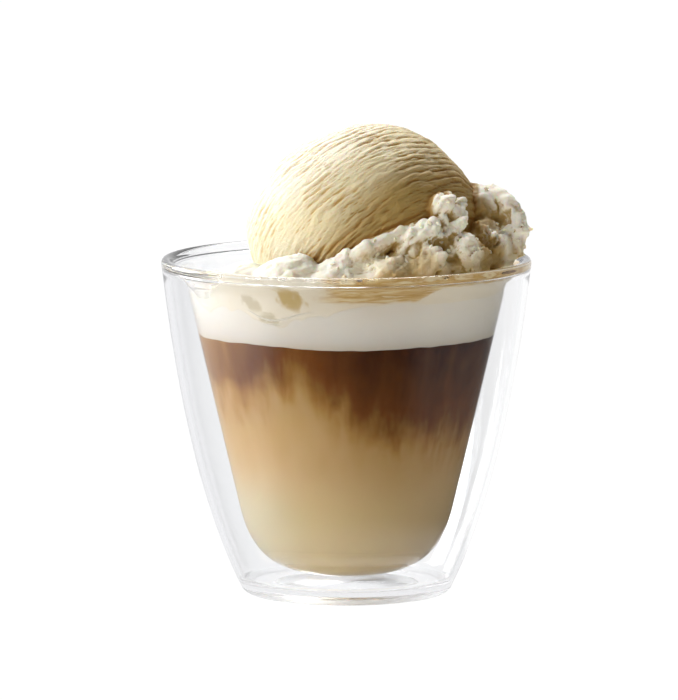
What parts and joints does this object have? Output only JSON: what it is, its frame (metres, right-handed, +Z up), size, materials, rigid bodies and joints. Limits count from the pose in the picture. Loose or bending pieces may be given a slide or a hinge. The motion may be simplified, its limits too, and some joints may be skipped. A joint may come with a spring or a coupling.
{
  "type": "affogato in a double-walled glass",
  "caption": "Affogato: a vanilla ice cream scoop on milk foam over layered espresso and milk coffee, in a clear double-walled tumbler.",
  "frame": {"origin": "centre of the glass's foot, on the surface that it stands on", "axes": "+Z up along the glass's axis, -Y towards the viewer's side of the scoop, +X towards the torn raised side of the scoop"},
  "size_m": [0.09, 0.09, 0.1146],
  "materials": {
    "clear_glass": "clear and polished",
    "milk_coffee": "opaque liquid",
    "espresso": "dark liquid",
    "milk_foam": "matte foam",
    "vanilla_ice_cream": "soft, slightly moist"
  },
  "bodies": {
    "root": {"glass": "clear_glass", "milk_coffee": "milk_coffee", "espresso_layer": "espresso", "milk_foam": "milk_foam", "ice_cream_scoop": "vanilla_ice_cream"}
  },
  "joints": []
}
